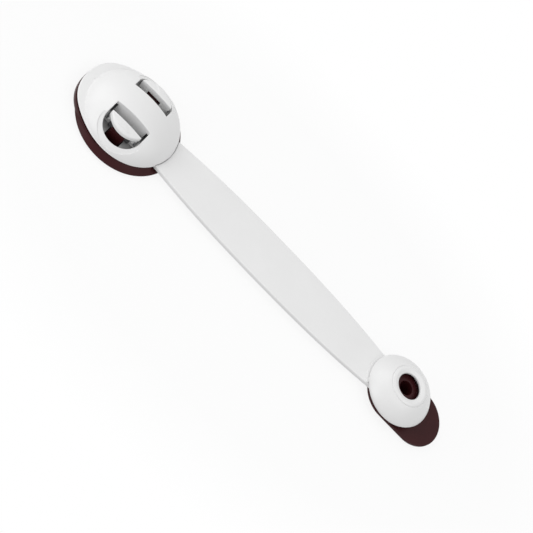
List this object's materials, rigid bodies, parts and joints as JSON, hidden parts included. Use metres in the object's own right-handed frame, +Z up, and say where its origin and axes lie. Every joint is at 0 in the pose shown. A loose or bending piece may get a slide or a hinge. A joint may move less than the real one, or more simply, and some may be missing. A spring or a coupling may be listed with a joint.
{
  "type": "adhesive strap lock",
  "caption": "Child-safety strap lock: domed push-button latch head on a round stick-on base, flexible strap, and a ring-capped swivel anchor on an oblong stick-on base.",
  "frame": {"origin": "centre of the latch pad's adhesive face", "axes": "+X along the strap from the latch head to the anchor, +Y across the strap towards the rear button, +Z up out of the adhesive faces"},
  "size_m": [0.1917, 0.0434, 0.0138],
  "materials": {
    "white_abs": "gloss moulded",
    "white_strap": "satin moulded",
    "brown_abs": "semi-gloss moulded",
    "grey_abs": "unpolished moulded",
    "acetal": "satin moulded",
    "foam_tape": "matt foam",
    "steel": "bright"
  },
  "bodies": {
    "base": {"latch_base": "brown_abs", "latch_pad": "foam_tape"},
    "head": {"head_cover": "white_abs", "head_frame": "grey_abs", "strap_head_half": "white_strap", "rear_spring_left": "steel", "rear_spring_right": "steel", "front_spring_left": "steel", "front_spring_right": "steel", "head_screw_front_left": "steel", "head_screw_rear_left": "steel", "head_screw_front_right": "steel", "head_screw_rear_right": "steel"},
    "front_push": {"front_button": "white_abs", "front_latch_loop": "acetal"},
    "rear_push": {"rear_button": "white_abs", "rear_latch_loop": "acetal"},
    "strap_tail": {"strap_anchor_half": "white_strap", "anchor_cap": "white_abs", "cap_screw_front": "steel", "cap_screw_rear": "steel"},
    "anchor": {"anchor_base": "brown_abs", "anchor_pad": "foam_tape", "pivot_rivet": "brown_abs"}
  },
  "joints": [
    {"name": "head_release", "type": "slide", "parent": "base", "child": "head", "axis": [0, 0, 1], "range_m": [0, 0.012], "deforming": ["front_latch_loop", "rear_latch_loop"]},
    {"name": "front_press", "type": "slide", "parent": "head", "child": "front_push", "axis": [0, 1, 0], "range_m": [0, 0.0024], "stiffness_N_per_m": 1200, "springref_m": -0.001, "deforming": ["front_spring_left", "front_spring_right"]},
    {"name": "rear_press", "type": "slide", "parent": "head", "child": "rear_push", "axis": [0, -1, 0], "range_m": [0, 0.0024], "stiffness_N_per_m": 1200, "springref_m": -0.001, "deforming": ["rear_spring_left", "rear_spring_right"]},
    {"name": "strap_bend", "type": "hinge", "parent": "head", "child": "strap_tail", "pos_m": [0.07465, 0, 0.0037], "axis": [0, 1, 0], "range_deg": [-90, 90], "stiffness_Nm_per_rad": 0.03},
    {"name": "anchor_swivel", "type": "hinge", "parent": "strap_tail", "child": "anchor", "pos_m": [0.1441, 0, 0.005], "axis": [0, 0, 1], "continuous": true}
  ]
}
